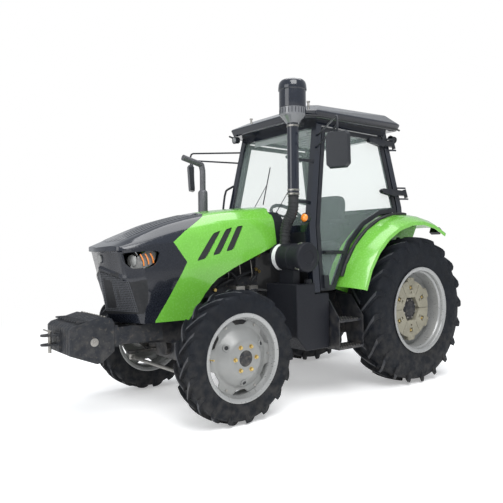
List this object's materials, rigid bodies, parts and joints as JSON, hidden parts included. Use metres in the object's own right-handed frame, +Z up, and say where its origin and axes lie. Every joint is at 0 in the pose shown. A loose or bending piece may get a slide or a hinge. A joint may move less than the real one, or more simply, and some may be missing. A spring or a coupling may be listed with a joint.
{
  "type": "farm tractor",
  "caption": "Four-wheel-drive farm tractor with a glazed cab, open engine sides, front weights and a rear three-point hitch.",
  "frame": {"origin": "on the ground, at mid-length and mid-width", "axes": "+X ahead, +Y to the driver's left, +Z up"},
  "size_m": [4.192, 2.331, 2.7231],
  "materials": {
    "tyre_rubber": "matte ribbed rubber",
    "rim_silver": "satin silver paint",
    "cast_beige": "painted rough casting",
    "paint_green": "gloss leaf green paint",
    "dark_grey": "satin dark grey paint",
    "black_plastic": "grained black plastic",
    "black_paint": "satin black paint",
    "engine_grey": "painted casting",
    "glass": "clear tinted glass",
    "lamp_lens": "clear ribbed lens",
    "seat_fabric": "woven dark fabric",
    "bare_steel": "worn bare steel",
    "roof_paint": "gloss blue-black paint",
    "exhaust_steel": "dulled steel",
    "clear_plastic": "smoked clear plastic"
  },
  "bodies": {
    "chassis": {"engine_block": "engine_grey", "transmission_housing": "engine_grey", "rear_axle": "engine_grey", "front_axle": "engine_grey", "front_frame": "black_paint", "weight_bracket": "black_paint", "front_weights": "black_paint", "radiator": "black_paint", "tow_clevis": "black_paint", "battery_box": "black_paint", "fuel_tank": "black_paint", "air_cleaner": "black_paint", "intake_pipe": "black_paint", "steps": "black_paint", "hitch_brackets": "black_paint", "drawbar": "black_paint", "pto_shaft": "bare_steel", "fenders": "paint_green", "cab_frame": "dark_grey", "cab_floor": "dark_grey", "cab_cowl": "dark_grey", "dashboard": "black_plastic", "mirrors": "black_plastic", "lamps": "black_plastic", "precleaner_cap": "black_plastic", "precleaner_bowl": "clear_plastic", "exhaust": "exhaust_steel", "cab_roof": "roof_paint", "cab_glass": "glass", "seat": "seat_fabric"},
    "hood": {"hood_shell": "paint_green", "hood_top": "roof_paint", "nose": "black_plastic", "headlamps": "lamp_lens"},
    "door_left": {"door_frame_left": "dark_grey", "door_glass_left": "glass"},
    "door_right": {"door_frame_right": "dark_grey", "door_glass_right": "glass"},
    "knuckle_left": {"knuckle_left": "engine_grey"},
    "knuckle_right": {"knuckle_right": "engine_grey"},
    "tie_rod": {"tie_rod": "black_paint"},
    "wheel_front_left": {"tyre_front_left": "tyre_rubber", "wheel_front_left": "rim_silver"},
    "wheel_front_right": {"tyre_front_right": "tyre_rubber", "wheel_front_right": "rim_silver"},
    "wheel_rear_left": {"tyre_rear_left": "tyre_rubber", "wheel_rear_left": "rim_silver", "wheel_weight_left": "cast_beige"},
    "wheel_rear_right": {"tyre_rear_right": "tyre_rubber", "wheel_rear_right": "rim_silver", "wheel_weight_right": "cast_beige"},
    "steering_wheel": {"steering_wheel": "black_plastic"},
    "lower_links": {"lower_links": "black_paint"},
    "lift_arms": {"lift_arms": "black_paint"},
    "lift_rods": {"lift_rods": "black_paint"},
    "top_link": {"top_link": "black_paint"}
  },
  "joints": [
    {"name": "steer_left", "type": "hinge", "parent": "chassis", "child": "knuckle_left", "pos_m": [0.885, 0.54, 0.4975], "axis": [0, 0, 1], "range_deg": [-38, 38]},
    {"name": "steer_right", "type": "hinge", "parent": "chassis", "child": "knuckle_right", "pos_m": [0.885, -0.54, 0.4975], "axis": [0, 0, 1], "range_deg": [-38, 38]},
    {"name": "tie_rod_pivot", "type": "hinge", "parent": "knuckle_left", "child": "tie_rod", "pos_m": [1.125, 0.54, 0.338], "axis": [0, 0, 1], "range_deg": [-38, 38]},
    {"name": "front_left_spin", "type": "hinge", "parent": "knuckle_left", "child": "wheel_front_left", "pos_m": [0.885, 0.72, 0.4975], "axis": [0, 1, 0], "continuous": true},
    {"name": "front_right_spin", "type": "hinge", "parent": "knuckle_right", "child": "wheel_front_right", "pos_m": [0.885, -0.72, 0.4975], "axis": [0, 1, 0], "continuous": true},
    {"name": "rear_left_spin", "type": "hinge", "parent": "chassis", "child": "wheel_rear_left", "pos_m": [-1.195, 0.712, 0.7], "axis": [0, 1, 0], "continuous": true},
    {"name": "rear_right_spin", "type": "hinge", "parent": "chassis", "child": "wheel_rear_right", "pos_m": [-1.195, -0.712, 0.7], "axis": [0, 1, 0], "continuous": true},
    {"name": "steering_column", "type": "hinge", "parent": "chassis", "child": "steering_wheel", "pos_m": [-0.29, 0, 1.6], "axis": [-0.6126, 0, 0.7904], "range_deg": [-580, 580]},
    {"name": "hood_lift", "type": "hinge", "parent": "chassis", "child": "hood", "pos_m": [0.195, 0, 1.675], "axis": [0, -1, 0], "range_deg": [0, 50]},
    {"name": "door_left_swing", "type": "hinge", "parent": "chassis", "child": "door_left", "pos_m": [-1.3036, 0.6299, 1.835], "axis": [0.2713, -0.0809, 0.9591], "range_deg": [0, 78]},
    {"name": "door_right_swing", "type": "hinge", "parent": "chassis", "child": "door_right", "pos_m": [-1.3036, -0.6299, 1.835], "axis": [-0.2713, -0.0809, -0.9591], "range_deg": [0, 78]},
    {"name": "lower_links_lift", "type": "hinge", "parent": "chassis", "child": "lower_links", "pos_m": [-1.255, 0, 0.52], "axis": [0, 1, 0], "range_deg": [-18, 30]},
    {"name": "lift_arms_turn", "type": "hinge", "parent": "chassis", "child": "lift_arms", "pos_m": [-1.335, 0, 0.96], "axis": [0, 1, 0], "range_deg": [-18, 30]},
    {"name": "lift_rods_turn", "type": "hinge", "parent": "lift_arms", "child": "lift_rods", "pos_m": [-1.635, 0, 0.96], "axis": [0, 1, 0], "range_deg": [-30, 18]},
    {"name": "top_link_swing", "type": "hinge", "parent": "chassis", "child": "top_link", "pos_m": [-1.495, 0, 0.88], "axis": [0, 1, 0], "range_deg": [-25, 25]}
  ],
  "couplings": [
    {"joint": "steer_right", "follows": "steer_left", "ratio": 1},
    {"joint": "tie_rod_pivot", "follows": "steer_left", "ratio": -1},
    {"joint": "steering_column", "follows": "steer_left", "ratio": 15},
    {"joint": "lift_arms_turn", "follows": "lower_links_lift", "ratio": 1},
    {"joint": "lift_rods_turn", "follows": "lower_links_lift", "ratio": -1}
  ]
}
